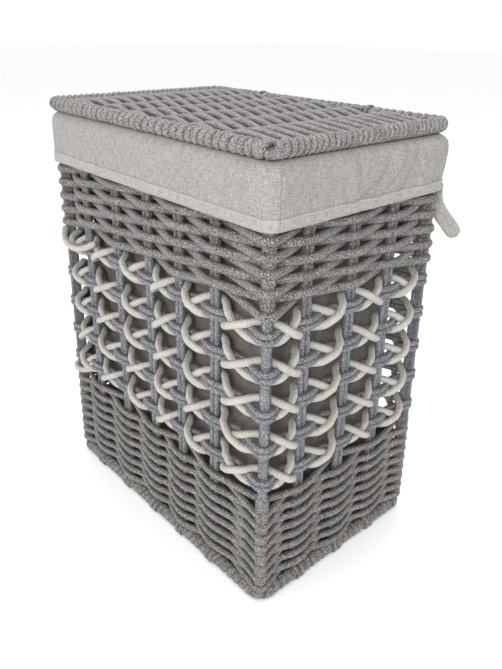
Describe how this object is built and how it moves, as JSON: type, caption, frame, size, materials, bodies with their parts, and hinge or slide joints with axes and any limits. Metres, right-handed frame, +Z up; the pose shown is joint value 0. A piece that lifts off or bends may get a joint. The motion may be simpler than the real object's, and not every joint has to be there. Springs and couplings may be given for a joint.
{
  "type": "laundry hamper with lid",
  "caption": "Rectangular cord-woven laundry hamper with an open lattice band, a hinged woven lid and a folded-over cloth liner.",
  "frame": {"origin": "middle of the footprint, on the surface that the hamper stands on", "axes": "+Z up, +X to the right along the wide side, front (the wide side opposite the hinges) at -Y"},
  "size_m": [0.4362, 0.2668, 0.5035],
  "materials": {
    "steel_wire": "plain drawn steel wire",
    "cord_grey": "matt heathered taupe-grey braided cord",
    "cord_blue_grey": "matt heathered blue-grey braided cord",
    "cord_white": "matt off-white cotton braided cord",
    "liner_linen": "pale grey-beige plain-weave cloth"
  },
  "bodies": {
    "basket": {"wire_cage": "steel_wire", "foot_rail": "cord_grey", "rim_rail": "cord_grey", "post_front_left": "cord_blue_grey", "post_front_right": "cord_blue_grey", "post_back_left": "cord_blue_grey", "post_back_right": "cord_blue_grey", "front_stakes": "cord_blue_grey", "back_stakes": "cord_blue_grey", "left_stakes": "cord_blue_grey", "right_stakes": "cord_blue_grey", "lower_weave": "cord_grey", "upper_weave": "cord_grey", "grey_lattice": "cord_blue_grey", "white_lattice": "cord_white", "floor_stakes": "cord_grey", "floor_weave": "cord_grey", "liner_front": "liner_linen", "liner_back": "liner_linen", "liner_left": "liner_linen", "liner_right": "liner_linen", "liner_bottom": "liner_linen", "tie_left": "liner_linen", "tie_right": "liner_linen", "hinge_loops": "cord_grey"},
    "lid": {"lid_wire": "steel_wire", "lid_border": "cord_grey", "lid_stakes": "cord_grey", "lid_weave": "cord_grey"}
  },
  "joints": [
    {"name": "lid_hinge", "type": "hinge", "parent": "basket", "child": "lid", "pos_m": [0, 0.1222, 0.4914], "axis": [-1, 0, 0], "range_deg": [0, 110]}
  ]
}
